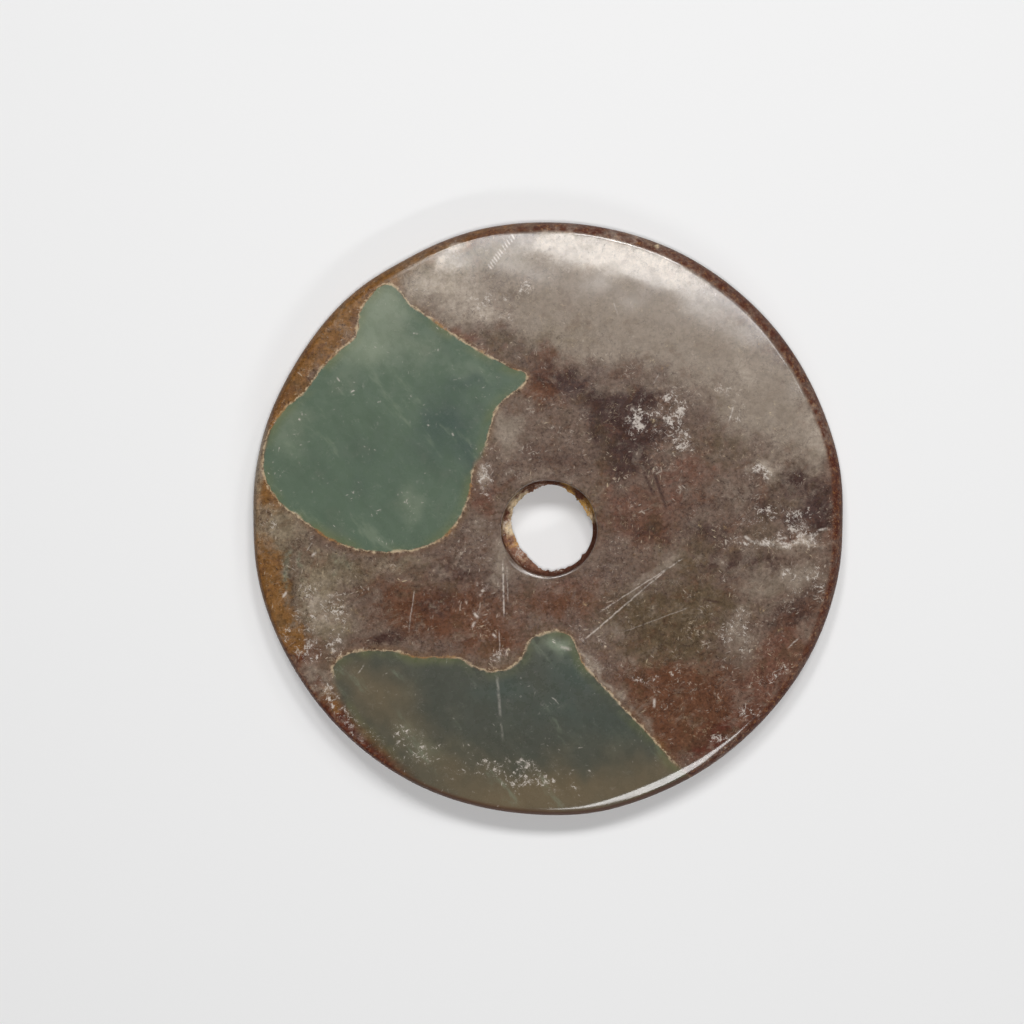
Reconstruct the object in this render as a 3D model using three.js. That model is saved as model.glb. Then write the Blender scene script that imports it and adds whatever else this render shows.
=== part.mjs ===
import * as THREE from "three";

// A plain jade bi disc: a flat round slab of nephrite with a hole near its middle, ground and drilled by hand.
// It lies on its underside. Millimetres, +Z up, the origin on the underside at the middle of the outline,
// +X to the right and +Y away when the finer face is seen from above.

// Slab
const discDiameter = 120; // mean diameter of the outline
const hubThickness = 9; // thickness round the hole, the thickest place
const faceFall = 1.1; // how far the upper face falls between the hub and the rim
const faceFallPower = 4; // the face stays level over the hub and curves down near the rim
const undersideRise = 0.7; // how far the underside rises between its level part and the rim
const undersideRiseWidth = 15; // width of the ring next to the rim in which it rises
const undersideRisePower = 2;

// Rim
const rimBevelWidth = 1.35; // width of the rounded edge seen from above, on average
const rimBevelChange = 0.65; // how much wider it is on its wide side, and narrower on the other
const rimWideSide = 38; // direction of the wide side, in degrees from +X
const lowerBevelWidth = 1.2; // width of the rounded edge seen from below
const arrisSteepness = 25; // degrees of arc left off the edge's curve, which leaves an arris at the face
const arrisWear = 0.12; // depth worn off the arris

// Hole
const holeShiftX = 0.2; // from the middle of the outline to the middle of the hole
const holeShiftY = -2;
const upperMouthDiameter = 19.4;
const lowerMouthDiameter = 18.8;
const boreTaper = 0.45; // how much each drilling narrows, on the radius, by the time it meets the ridge
const mouthRounding = 0.35; // worn edge of each mouth
const ridgeDiameter = 17.1; // the ragged ridge where the drillings from both faces meet
const ridgeHeight = 3.2; // its height above the underside
const ridgeThickness = 0.5; // at its tip
const ridgeRootThickness = 2.2; // where it leaves the walls
const ridgeShiftX = 0.75; // from the middle of the hole to the middle of the ridge
const ridgeShiftY = 0.1;

// The hand-ground outline: swells (positive) and flats (negative), each with its direction in degrees from +X,
// its spread in degrees and its height beyond the mean circle.
const outlineFeatures = [
  { name: "flat at the right", direction: 359, spread: 6, height: -0.26 },
  { name: "slight swell beside it", direction: 11, spread: 5, height: 0.08 },
  { name: "long flat, upper right", direction: 24, spread: 9, height: -0.1 },
  { name: "swell, upper right", direction: 64, spread: 9, height: 0.1 },
  { name: "swell past the top", direction: 103, spread: 9, height: 0.17 },
  { name: "flat, upper left", direction: 119, spread: 6, height: -0.18 },
  { name: "strong swell, upper left", direction: 133, spread: 10, height: 0.33 },
  { name: "swell, left", direction: 161, spread: 6, height: 0.12 },
  { name: "flat at the left", direction: 181, spread: 7, height: -0.33 },
  { name: "long flat, lower left", direction: 210, spread: 13, height: -0.22 },
  { name: "swell, lower left", direction: 245, spread: 12, height: 0.14 },
  { name: "strong swell at the bottom", direction: 279, spread: 9, height: 0.35 },
  { name: "long flat, lower right", direction: 316, spread: 12, height: -0.2 },
];

// Chips along the ridge: direction in degrees, spread in degrees, and how far each bites out (positive)
// or stands in (negative).
const ridgeChips = [
  { direction: 8, spread: 14, bite: 0.15 },
  { direction: 38, spread: 10, bite: 0.22 },
  { direction: 64, spread: 8, bite: -0.25 },
  { direction: 92, spread: 13, bite: 0.3 },
  { direction: 124, spread: 9, bite: -0.22 },
  { direction: 152, spread: 10, bite: 0.25 },
  { direction: 186, spread: 12, bite: -0.3 },
  { direction: 222, spread: 10, bite: -0.35 },
  { direction: 262, spread: 16, bite: 0.3 },
  { direction: 300, spread: 6, bite: 0.2 },
  { direction: 317, spread: 5, bite: -0.45 },
  { direction: 340, spread: 9, bite: 0.12 },
];

// Shallow hollows and low swells of the upper face: place from the middle of the outline, spread and depth.
// The places are shares of the outline's radius.
const faceHollows = [
  { name: "hollow by the right edge", x: 0.86, y: 0.1, spread: 5, depth: 0.14 },
  { name: "swell below that hollow", x: 0.85, y: -0.1, spread: 4.5, depth: -0.1 },
  { name: "hollow right of the hole", x: 0.45, y: 0.18, spread: 8, depth: 0.08 },
  { name: "worn place, lower left", x: -0.62, y: -0.3, spread: 9, depth: 0.09 },
  { name: "swell, upper left", x: -0.3, y: 0.72, spread: 8, depth: -0.07 },
];

// Mesh
const turns = 96; // sections round the disc
const faceRings = 12; // rings of vertices across the upper face
const undersideRings = 6; // rings across the underside
const rimSteps = 5; // steps from the arris down to the widest line, and again from there to the underside

const discRadius = discDiameter / 2;
const holeCentre = new THREE.Vector2(holeShiftX, holeShiftY);
const ridgeCentre = holeCentre.clone().add(new THREE.Vector2(ridgeShiftX, ridgeShiftY));
const discCentre = new THREE.Vector2(0, 0);
const levelRadius = discRadius - undersideRiseWidth;
const arrisArc = THREE.MathUtils.degToRad(arrisSteepness);

// A smooth bump, 1 in the given direction and fading to either side of it, for an angle in radians.
function bumpAt(angle, direction, spread) {
  const away = THREE.MathUtils.radToDeg(angle) - direction;
  const nearest = THREE.MathUtils.euclideanModulo(away + 180, 360) - 180;
  return Math.exp(-((nearest / spread) ** 2));
}

function outlineRadius(angle) {
  const ground = ({ direction, spread, height }) => height * bumpAt(angle, direction, spread);
  return outlineFeatures.reduce((radius, feature) => radius + ground(feature), discRadius);
}

function ridgeRadius(angle) {
  const bitten = ({ direction, spread, bite }) => bite * bumpAt(angle, direction, spread);
  return ridgeChips.reduce((radius, chip) => radius + bitten(chip), ridgeDiameter / 2);
}

function bevelWidth(angle) {
  return rimBevelWidth + rimBevelChange * Math.cos(angle - THREE.MathUtils.degToRad(rimWideSide));
}

// Height of the upper face over a point of the plan.
function upperFace(x, y) {
  const fall = faceFall * (Math.hypot(x, y) / discRadius) ** faceFallPower;
  const hollowed = faceHollows.reduce((depth, hollow) => {
    const away = Math.hypot(x - hollow.x * discRadius, y - hollow.y * discRadius);
    return depth + hollow.depth * Math.exp(-((away / hollow.spread) ** 2));
  }, 0);
  return hubThickness - fall - hollowed;
}

// Height of the underside over a point of the plan.
function underside(x, y) {
  const intoRing = Math.max(0, (Math.hypot(x, y) - levelRadius) / undersideRiseWidth);
  return undersideRise * intoRing ** undersideRisePower;
}

function planPoint(centre, radius, angle) {
  return new THREE.Vector2(centre.x + radius * Math.cos(angle), centre.y + radius * Math.sin(angle));
}

function raised(point, height) {
  return new THREE.Vector3(point.x, point.y, height);
}

// The wall of the hole, from the underside up to the upper face.
function holeSection(angle) {
  const lowerRadius = lowerMouthDiameter / 2;
  const upperRadius = upperMouthDiameter / 2;
  const rim = planPoint(holeCentre, upperRadius + mouthRounding, angle);
  const top = upperFace(rim.x, rim.y);
  const tip = planPoint(ridgeCentre, ridgeRadius(angle), angle);
  return [
    raised(planPoint(holeCentre, lowerRadius + mouthRounding, angle), 0),
    raised(planPoint(holeCentre, lowerRadius, angle), mouthRounding),
    raised(planPoint(holeCentre, lowerRadius - boreTaper, angle), ridgeHeight - ridgeRootThickness / 2),
    raised(tip, ridgeHeight - ridgeThickness / 2),
    raised(tip, ridgeHeight + ridgeThickness / 2),
    raised(planPoint(holeCentre, upperRadius - boreTaper, angle), ridgeHeight + ridgeRootThickness / 2),
    raised(planPoint(holeCentre, upperRadius, angle), top - mouthRounding),
    raised(rim, top),
  ];
}

// Rings from the mouth of the hole to the edge of a face. The spacing closes up towards the edge, and the
// rings' middle moves from the hole's centre to the outline's.
function faceSection(angle, mouthRadius, edgeRadius, rings, height) {
  const mouth = planPoint(holeCentre, mouthRadius, angle);
  const edge = planPoint(discCentre, edgeRadius, angle);
  const section = [];
  for (let ring = 1; ring < rings; ring++) {
    const outward = Math.sin((ring / rings) * (Math.PI / 2));
    const point = mouth.clone().lerp(edge, outward);
    section.push(raised(point, height(point.x, point.y)));
  }
  return section;
}

// The rounded rim, from the arris at the upper face, over the widest line, to the underside.
function rimSection(angle) {
  const widest = outlineRadius(angle);
  const bevel = bevelWidth(angle);
  const upperArris = planPoint(discCentre, widest - bevel, angle);
  const lowerArris = planPoint(discCentre, widest - lowerBevelWidth, angle);
  const top = upperFace(upperArris.x, upperArris.y) - arrisWear;
  const bottom = underside(lowerArris.x, lowerArris.y);
  const middle = (top + bottom) / 2;
  const section = [];
  for (let step = -rimSteps; step <= rimSteps; step++) {
    const above = step <= 0;
    const arc = Math.PI / 2 - (Math.abs(step) / rimSteps) * (Math.PI / 2 - arrisArc);
    const inward = ((above ? bevel : lowerBevelWidth) * (1 - Math.sin(arc))) / (1 - Math.sin(arrisArc));
    const share = Math.cos(arc) / Math.cos(arrisArc);
    const height = middle + ((above ? top : bottom) - middle) * share;
    section.push(raised(planPoint(discCentre, widest - inward, angle), height));
  }
  return section;
}

// One closed section through the disc: up the hole, out over the face, down the rim and back underneath.
function discSection(angle) {
  const upperEdge = outlineRadius(angle) - bevelWidth(angle);
  const lowerEdge = outlineRadius(angle) - lowerBevelWidth;
  const upperMouth = upperMouthDiameter / 2 + mouthRounding;
  const lowerMouth = lowerMouthDiameter / 2 + mouthRounding;
  return [
    ...holeSection(angle),
    ...faceSection(angle, upperMouth, upperEdge, faceRings, upperFace),
    ...rimSection(angle),
    ...faceSection(angle, lowerMouth, lowerEdge, undersideRings, underside).reverse(),
  ];
}

// A ring-shaped closed surface from a section given at every turn.
function ringGeometry(sectionAt, count) {
  const sections = Array.from({ length: count }, (_, turn) => sectionAt((turn / count) * 2 * Math.PI));
  const points = sections[0].length;
  const index = [];
  for (let turn = 0; turn < count; turn++) {
    const here = turn * points;
    const next = ((turn + 1) % count) * points;
    for (let point = 0; point < points; point++) {
      const after = (point + 1) % points;
      index.push(here + point, here + after, next + after);
      index.push(here + point, next + after, next + point);
    }
  }
  const geometry = new THREE.BufferGeometry().setFromPoints(sections.flat());
  geometry.setIndex(index);
  geometry.computeVertexNormals();
  return geometry;
}

// Russet-brown skin of the stone, polished to a soft gloss.
function skinMaterial() {
  return new THREE.MeshStandardMaterial({ color: 0x5c4436, roughness: 0.35, metalness: 0 });
}

function biDisc() {
  const mesh = new THREE.Mesh(ringGeometry(discSection, turns), skinMaterial());
  mesh.name = "bi_disc";
  return mesh;
}

const group = new THREE.Group();
group.add(biDisc());

export default group;
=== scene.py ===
"""A plain jade bi disc lying on a pale floor, seen from straight above.

One piece, the disc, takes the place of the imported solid: the same section turned round the same hole,
with more rings, a ragged ledge in the hole and the slight unevenness of a face ground by hand. One
material colours it. Lengths are in millimetres until a mesh, a light or the camera is made. Places on
the upper face are given in pixels of the photograph, which shows that face square on.
"""

import math

import bpy
import numpy as np
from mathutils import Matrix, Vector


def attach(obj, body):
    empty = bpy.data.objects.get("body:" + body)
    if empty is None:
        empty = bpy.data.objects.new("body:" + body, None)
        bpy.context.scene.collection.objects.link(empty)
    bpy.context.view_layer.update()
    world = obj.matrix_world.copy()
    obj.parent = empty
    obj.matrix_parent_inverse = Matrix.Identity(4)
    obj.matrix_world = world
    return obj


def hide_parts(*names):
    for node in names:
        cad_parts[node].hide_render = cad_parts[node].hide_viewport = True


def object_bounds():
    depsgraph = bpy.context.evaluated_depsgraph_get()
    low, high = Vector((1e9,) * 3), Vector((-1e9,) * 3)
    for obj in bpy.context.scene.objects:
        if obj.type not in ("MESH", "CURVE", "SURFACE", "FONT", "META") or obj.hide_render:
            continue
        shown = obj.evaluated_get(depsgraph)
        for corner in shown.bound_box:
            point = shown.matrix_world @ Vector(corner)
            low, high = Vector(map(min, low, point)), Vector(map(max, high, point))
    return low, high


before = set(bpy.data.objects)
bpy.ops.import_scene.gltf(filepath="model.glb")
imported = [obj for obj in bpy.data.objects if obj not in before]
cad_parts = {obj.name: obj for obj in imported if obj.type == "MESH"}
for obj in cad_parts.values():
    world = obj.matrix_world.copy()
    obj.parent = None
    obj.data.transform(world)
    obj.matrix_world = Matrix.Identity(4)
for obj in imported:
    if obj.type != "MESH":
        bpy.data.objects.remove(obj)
cad_low, cad_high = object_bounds()

PER_METRE = 1000.0  # millimetres to a metre

# The solid's sizes

DISC_RADIUS = 60.0
HUB_THICKNESS = 9.0
FACE_FALL = 1.1
FACE_FALL_POWER = 4
UNDERSIDE_RISE = 0.7
UNDERSIDE_RISE_WIDTH = 15.0
RIM_BEVEL_WIDTH = 1.35
RIM_BEVEL_CHANGE = 0.65
RIM_WIDE_SIDE = 38.0
LOWER_BEVEL_WIDTH = 1.2
ARRIS_ARC = math.radians(25)
HOLE_CENTRE = (0.2, -2.0)
UPPER_MOUTH_RADIUS = 9.7
LOWER_MOUTH_RADIUS = 9.4
BORE_TAPER = 0.45
MOUTH_ROUNDING = 0.35
LEDGE_CENTRE = (0.95, -1.9)
LEDGE_RADIUS = 8.55
LEDGE_HEIGHT = 3.2
LEDGE_THICKNESS = 0.5
LEDGE_ROOT_THICKNESS = 2.2

# Swells and flats of the hand-ground outline: direction and spread in degrees, height.
OUTLINE_FEATURES = [
    (359, 6, -0.26),
    (11, 5, 0.08),
    (24, 9, -0.1),
    (64, 9, 0.1),
    (103, 9, 0.17),
    (119, 6, -0.18),
    (133, 10, 0.33),
    (161, 6, 0.12),
    (181, 7, -0.33),
    (210, 13, -0.22),
    (245, 12, 0.14),
    (279, 9, 0.35),
    (316, 12, -0.2),
]

# Chips (positive) and teeth (negative) of the ledge in the hole: direction, spread, bite.
LEDGE_CHIPS = [
    (8, 14, 0.15),
    (38, 10, 0.22),
    (64, 8, -0.25),
    (92, 13, 0.3),
    (124, 9, -0.22),
    (152, 10, 0.25),
    (186, 12, -0.3),
    (222, 10, -0.35),
    (262, 16, 0.3),
    (300, 6, 0.2),
    (317, 5, -0.45),
    (340, 9, 0.12),
]

# Hollows (positive) and swells (negative) of the upper face: x, y, spread and depth.
FACE_HOLLOWS = [
    (51.6, 6.0, 5.0, 0.14),
    (51.0, -6.0, 4.5, -0.1),
    (27.0, 10.8, 8.0, 0.08),
    (-37.2, -18.0, 9.0, 0.09),
    (-18.0, 43.2, 8.0, -0.07),
]

# Finer forms, which only the visible piece has

ARRIS_WEAR = 0.12  # depth worn off the arris of the upper face
ARRIS_WEAR_WIDTH = 0.7
CHAMFER_SIDE = 293  # direction in which the arris was ground off to a narrow chamfer
CHAMFER_SPREAD = 26
CHAMFER_WIDTH = 1.9
CHAMFER_SLOPE = 0.31
CHAMFER_SOFTNESS = 0.12
FACET_SIDE = 73  # direction of the flat that was ground across the face's upper right edge
FACET_START = 52.8  # its distance from the middle of the outline
FACET_SLOPE = 0.05
FACET_SOFTNESS = 0.5
FACET_WOBBLE = 0.6
FACET_WAVES = 8
MOUTH_WORN_SIDE = 230  # direction in which the hole's mouth is worn
MOUTH_WORN_SPREAD = 28
MOUTH_WORN_WIDTH = 0.32
MOUTH_WORN_SLOPE = 0.36
MOUTH_WORN_SOFTNESS = 0.06
MOUTH_WOBBLE = 0.09
GROUND_WAVES = 14  # low waves left in the face by grinding
GROUND_DEPTH = 0.02
DRILL_GROOVE_DEPTH = 0.03
DRILL_GROOVE_PITCH = 0.8
LEDGE_RAGGEDNESS = 0.16
LEDGE_LUMPS = 0.22
LEDGE_TIP_WAVES = 0.25  # how far the ledge's tip rises and falls
LEDGE_TIP_SHARE = 0.999  # how far out the middle line of the tip stands beside its upper and lower edge
LEDGE_LOWER_CURVE = 0.7  # powers that bend the ledge's lower and upper sides
LEDGE_UPPER_CURVE = 1.6
RIM_DULLNESS = 0.9  # share of the polish that the rim has lost
GRAIN_DEPTH = 0.01  # of the bump that the material gives the stone

# Where the visible ledge stands further in (negative) or less far in (positive) than the solid's:
# direction, spread, bite.
LEDGE_TEETH = [
    (24, 20, -1.1),
    (46, 14, -0.8),
    (68, 8, -0.25),
    (129, 8, 0.25),
    (202, 14, -0.75),
    (232, 18, -0.65),
    (311, 5, 0.35),
]

# Rings of vertices

TURNS = 560
MOUTH_RINGS = 6
BORE_RINGS = 8
LEDGE_RINGS = 6
MOUTH_FACE_RINGS = 5
FACE_RINGS = 72
EDGE_FACE_RINGS = 13
MOUTH_FACE_END = 0.016  # share of the face's width where the close rings beside the hole end
EDGE_FACE_START = 0.94  # share where the close rings beside the rim start
RIM_STEPS = 9
UNDERSIDE_RINGS = 18

# The photograph and the room

PIXEL = 0.2026  # millimetres of the disc to one pixel
PHOTO_MIDDLE = (547.9, 518.4)  # pixel at the middle of the disc's outline
PHOTO_SIZE = 1024
CAMERA_DISTANCE = 750.0
FLOOR_HALF_WIDTH = 2000.0

# Outlines of the two green windows in the brown skin, as the photograph shows them. The second one runs
# out over the rim below.
UPPER_WINDOW = [
    (383, 286), (396, 289), (410, 306), (432, 321), (454, 337), (475, 350), (497, 362), (513, 370),
    (526, 375), (521, 387), (506, 397), (494, 412), (488, 434), (483, 452), (473, 468), (469, 492),
    (461, 514), (445, 535), (421, 547), (392, 551), (362, 549), (331, 538), (301, 517), (281, 502),
    (267, 479), (265, 458), (269, 437), (283, 413), (307, 391), (323, 369), (340, 352), (357, 337),
    (361, 314), (370, 298),
]
LOWER_WINDOW = [
    (334, 670), (341, 658), (354, 652), (376, 650), (401, 652), (415, 657), (438, 657), (459, 658),
    (472, 665), (488, 671), (503, 670), (517, 663), (525, 652), (530, 640), (542, 634), (557, 631),
    (571, 637), (576, 650), (585, 667), (611, 695), (646, 732), (668, 757), (700, 800), (640, 850),
    (500, 850), (440, 812), (396, 760), (358, 722), (340, 694),
]

WINDOW_BLUR = 0.12  # millimetres over which the edge of a window blurs everywhere
UNDERSIDE_BLUR = 1.5  # how much more it blurs on the underside
UPPER_WINDOW_END = 40.0  # millimetres that the windows draw in on the underside, which ends the upper one
LOWER_WINDOW_END = 4.0

# Where the edge of a window is less sharp: pixel, spread in pixels, and added blur in millimetres.
WINDOW_BLURS = [
    ((475, 455), 14, 0.9),
    ((336, 690), 16, 1.2),
    ((372, 735), 34, 2.2),
    ((420, 775), 34, 2.6),
    ((676, 775), 14, 1.0),
    ((535, 650), 12, 0.5),
]

# Waves that make the patches' outlines uneven: pixels, shortest and longest wave in millimetres, seed.
PATCH_WAVES = [(5, 6, 14, 31), (2.5, 2.5, 5, 33)]
PATCH_WAVE_COUNT = 10

# Colour patches by kind: pixel, half length and half width in pixels, turn in degrees,
# strength. Most are stains; ash and haze also hold painted sheen on the upper right of the face.
# Copper and honey colour only the ledge, copper as a stain and honey as painted glow.
STAINS_AND_SHEEN = {
    "olive": [
        ((668, 632), 56, 44, 0, 0.9), ((700, 600), 40, 24, 0, 0.6), ((625, 605), 30, 18, 0, 0.5),
        ((535, 336), 34, 12, 0, 0.5), ((500, 346), 30, 12, -20, 0.4), ((345, 572), 40, 18, 0, 0.7),
        ((288, 590), 9, 34, 0, 0.6), ((720, 440), 34, 20, 0, 0.5), ((690, 560), 40, 16, 0, 0.4),
        ((640, 522), 24, 14, 0, 0.4), ((690, 490), 24, 16, 0, 0.4), ((276, 548), 22, 16, 0, 0.6),
        ((330, 300), 40, 8, 47, 0.5),
    ],
    "russet": [
        ((450, 612), 58, 30, 0, 1.0), ((498, 642), 30, 16, 0, 0.9), ((560, 602), 40, 20, 0, 0.7),
        ((400, 600), 30, 24, 0, 0.4), ((690, 722), 56, 34, 0, 1.0), ((650, 680), 34, 24, 0, 0.8),
        ((708, 684), 40, 22, 0, 0.6), ((650, 528), 30, 26, 0, 0.7), ((655, 700), 24, 14, -40, 0.6),
        ((545, 388), 24, 24, 0, 0.8), ((552, 352), 16, 16, 0, 0.5), ((436, 262), 24, 9, 20, 0.5),
    ],
    "brick": [
        ((670, 492), 40, 30, 0, 0.5), ((690, 465), 34, 22, 0, 0.4), ((618, 520), 26, 24, 0, 0.6),
        ((606, 480), 14, 26, 0, 0.5), ((484, 498), 14, 22, 0, 0.8), ((462, 334), 26, 8, -30, 0.8),
        ((780, 655), 52, 22, 58, 1.0), ((755, 700), 30, 20, 45, 1.0), ((832, 500), 8, 60, 0, 0.6),
        ((318, 655), 16, 18, 0, 0.7), ((560, 588), 40, 12, 0, 0.5),
    ],
    "red": [
        ((300, 655), 30, 7, -58, 0.8), ((340, 720), 40, 11, -50, 1.0), ((385, 760), 48, 13, -38, 1.0),
        ((445, 792), 44, 10, -22, 1.0), ((690, 790), 50, 6, 33, 0.8), ((770, 720), 40, 8, 48, 0.7),
        ((716, 740), 40, 18, 30, 0.7), ((838, 450), 7, 70, 0, 0.6), ((800, 340), 46, 5, -52, 0.5),
    ],
    "amber": [
        ((340, 320), 84, 22, 47, 1.0), ((290, 390), 40, 18, 62, 1.0), ((260, 470), 17, 62, 0, 1.0),
        ((264, 528), 20, 34, 0, 0.9), ((268, 585), 54, 18, -74, 0.9), ((290, 636), 26, 14, -62, 0.6),
        ((328, 700), 26, 9, -50, 0.5), ((395, 268), 34, 13, 35, 0.9), ((450, 250), 44, 12, 24, 0.6),
        ((524, 806), 80, 9, 0, 0.5), ((500, 226), 60, 6, 10, 0.5), ((640, 236), 40, 5, -20, 0.4),
        ((655, 742), 16, 10, -45, 0.5), ((588, 512), 6, 22, 0, 0.6),
    ],
    "plum": [
        ((652, 530), 36, 18, 0, 0.45), ((800, 520), 36, 10, 0, 0.6), ((570, 384), 18, 11, 0, 0.9),
        ((590, 402), 18, 10, 0, 0.7), ((620, 404), 24, 12, 0, 0.7), ((618, 438), 22, 36, 0, 1.0),
        ((624, 440), 20, 26, 0, 0.7), ((648, 398), 22, 12, 0, 0.7), ((652, 432), 30, 16, 0, 0.6),
        ((600, 425), 16, 16, 0, 0.6), ((640, 462), 24, 12, 0, 0.5), ((560, 462), 34, 12, 0, 0.35),
        ((795, 480), 34, 14, 0, 0.65), ((818, 508), 20, 20, 0, 0.9), ((765, 505), 14, 14, 0, 0.5),
        ((730, 562), 40, 16, 0, 0.4), ((712, 535), 24, 14, 0, 0.5), ((790, 612), 30, 18, 20, 0.45),
        ((762, 562), 26, 12, 0, 0.4), ((455, 575), 40, 18, 0, 0.5), ((438, 605), 26, 14, 0, 0.4),
        ((340, 578), 24, 12, 0, 0.5), ((385, 640), 28, 9, 0, 0.6), ((510, 288), 12, 7, 40, 0.6),
        ((545, 372), 16, 14, 0, 0.4),
    ],
    # Ash is a pale grey bloom; its large patches over the upper right are painted sheen, light caught by
    # the face there.
    "ash_and_sheen": [
        ((530, 262), 70, 24, 4, 0.5), ((590, 290), 70, 44, -14, 1.0), ((650, 320), 70, 44, -24, 1.0),
        ((714, 352), 60, 40, -38, 0.9), ((776, 404), 56, 32, -58, 0.95), ((810, 440), 34, 20, -70, 0.8),
        ((745, 410), 34, 26, -40, 0.7), ((460, 300), 50, 30, 0, 0.8), ((425, 285), 30, 18, 30, 0.7),
        ((546, 316), 44, 22, 0, 0.9), ((590, 352), 34, 18, 0, 0.6), ((755, 582), 30, 14, 0, 0.35),
        ((808, 632), 20, 20, 50, 0.3), ((508, 430), 18, 28, 0, 0.7), ((482, 477), 12, 20, 0, 0.5),
        ((500, 560), 12, 24, 0, 0.6), ((478, 528), 16, 14, 0, 0.4), ((324, 600), 14, 34, 0, 0.5),
        ((350, 632), 30, 12, 0, 0.3), ((602, 674), 44, 5, -50, 0.6), ((645, 724), 20, 5, -50, 0.5),
        ((314, 672), 16, 24, 0, 0.5), ((290, 528), 24, 12, 0, 0.5), ((794, 547), 42, 8, 0, 0.4),
        ((800, 576), 30, 14, 0, 0.6), ((735, 632), 14, 30, 0, 0.45), ((755, 590), 24, 10, 10, 0.4),
        ((655, 572), 46, 8, 40, 0.5), ((612, 632), 14, 12, 0, 0.4), ((760, 640), 20, 14, 0, 0.3),
        ((765, 470), 20, 10, 0, 0.5),
    ],
    "khaki": [
        ((316, 590), 24, 40, 0, 0.7), ((345, 575), 34, 20, 0, 0.4), ((280, 526), 30, 20, -30, 0.9),
        ((330, 625), 34, 18, 0, 0.5), ((259, 440), 8, 60, 0, 0.9), ((490, 258), 60, 22, 0, 0.5),
        ((430, 280), 44, 26, 10, 0.5), ((400, 562), 36, 10, 0, 0.5), ((560, 335), 40, 14, 0, 0.4),
    ],
    # Haze is pale bloom and crumbs; the long patches along the upper edge and at the upper right are
    # painted sheen.
    "haze_and_sheen": [
        ((440, 284), 44, 24, 10, 0.5), ((545, 246), 40, 14, 4, 0.4), ((261, 450), 7, 56, 0, 0.4),
        ((765, 468), 22, 12, 0, 0.35), ((480, 312), 34, 14, -25, 0.45), ((600, 256), 60, 22, -12, 0.75),
        ((660, 268), 50, 16, -30, 0.7), ((745, 372), 30, 12, -50, 0.4), ((790, 541), 44, 4, 2, 0.6),
        ((815, 430), 16, 40, 0, 0.4), ((484, 480), 8, 18, 10, 0.4), ((600, 672), 40, 3, -50, 0.4),
        ((735, 628), 8, 22, 0, 0.2), ((322, 608), 14, 30, 0, 0.4), ((330, 682), 12, 26, -50, 0.45),
        ((452, 252), 16, 4, 40, 0.8), ((443, 262), 4, 10, 20, 0.8),
    ],
    "moss": [
        ((284, 572), 5, 22, -6, 0.6), ((300, 560), 4, 16, 10, 0.4), ((340, 566), 18, 8, 30, 0.4),
    ],
    "copper": [],
    "honey_glow": [],
    "cream": [
        ((660, 248), 5, 3, -25, 0.8),
    ],
    "chalk": [
        ((638, 424), 8, 11, 0, 0.75), ((672, 396), 12, 8, 40, 0.85), ((680, 409), 9, 9, 0, 0.85),
        ((662, 421), 12, 9, 0, 0.75), ((684, 436), 9, 11, 0, 0.85), ((679, 448), 11, 7, 0, 0.85),
        ((656, 447), 12, 6, 0, 0.6), ((650, 425), 44, 36, 0, 0.35), ((720, 392), 16, 10, 0, 0.5),
        ((735, 415), 6, 14, 0, 0.5), ((596, 455), 14, 10, 0, 0.35), ((772, 541), 46, 6, 2, 0.95),
        ((812, 533), 22, 5, 14, 0.6), ((775, 518), 44, 16, 0, 0.65), ((800, 582), 40, 22, 0, 0.6),
        ((735, 632), 18, 32, 0, 0.7), ((765, 475), 16, 8, 0, 0.6), ((484, 478), 10, 24, 10, 0.8),
        ((490, 540), 18, 20, 0, 0.5), ((486, 300), 18, 9, 25, 0.9), ((500, 318), 16, 7, -20, 0.8),
        ((523, 292), 9, 9, 0, 0.7), ((456, 252), 12, 12, 0, 0.8), ((430, 300), 30, 14, -30, 0.4),
        ((420, 750), 46, 20, -28, 0.9), ((352, 722), 34, 10, -52, 0.8), ((290, 640), 24, 8, -60, 0.35),
        ((720, 762), 60, 8, 32, 0.6), ((600, 676), 40, 5, -50, 0.7), ((640, 678), 30, 4, 6, 0.9),
        ((722, 738), 16, 4, 15, 0.9), ((746, 712), 14, 10, 40, 0.8), ((770, 676), 18, 5, 30, 0.8),
        ((272, 430), 8, 50, 0, 0.5), ((540, 774), 44, 18, 0, 0.95), ((508, 768), 34, 16, 0, 0.9),
        ((325, 690), 14, 16, 0, 0.8), ((316, 655), 16, 12, -40, 0.7), ((325, 605), 30, 40, 0, 0.5),
        ((560, 642), 14, 7, 0, 0.8), ((408, 522), 8, 26, 0, 0.4), ((330, 635), 24, 18, 0, 0.5),
        ((500, 655), 16, 12, 0, 0.6), ((590, 640), 18, 12, 0, 0.5), ((750, 740), 20, 10, 40, 0.5),
        ((620, 262), 60, 20, 0, 0.4), ((700, 290), 40, 14, -30, 0.4), ((480, 580), 12, 20, 0, 0.4),
        ((615, 540), 14, 10, 0, 0.4), ((270, 520), 14, 16, 0, 0.5),
    ],
    "umber": [
        ((540, 800), 140, 40, 0, 0.9), ((650, 772), 60, 26, 26, 0.5), ((372, 690), 60, 34, -38, 0.6),
        ((425, 750), 60, 26, -30, 0.5),
    ],
    "milky": [
        ((384, 308), 26, 30, 0, 1.0), ((365, 345), 36, 24, 30, 0.7), ((400, 350), 44, 24, 0, 0.4),
        ((425, 745), 34, 14, -30, 0.5), ((290, 440), 20, 40, 0, 0.4), ((412, 508), 12, 24, 0, 0.5),
        ((470, 370), 30, 10, -20, 0.3), ((556, 645), 18, 10, 0, 0.8),
    ],
    "deep": [
        ((445, 425), 30, 30, 0, 0.8), ((468, 462), 12, 26, 0, 0.8), ((470, 385), 40, 12, 0, 0.5),
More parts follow.
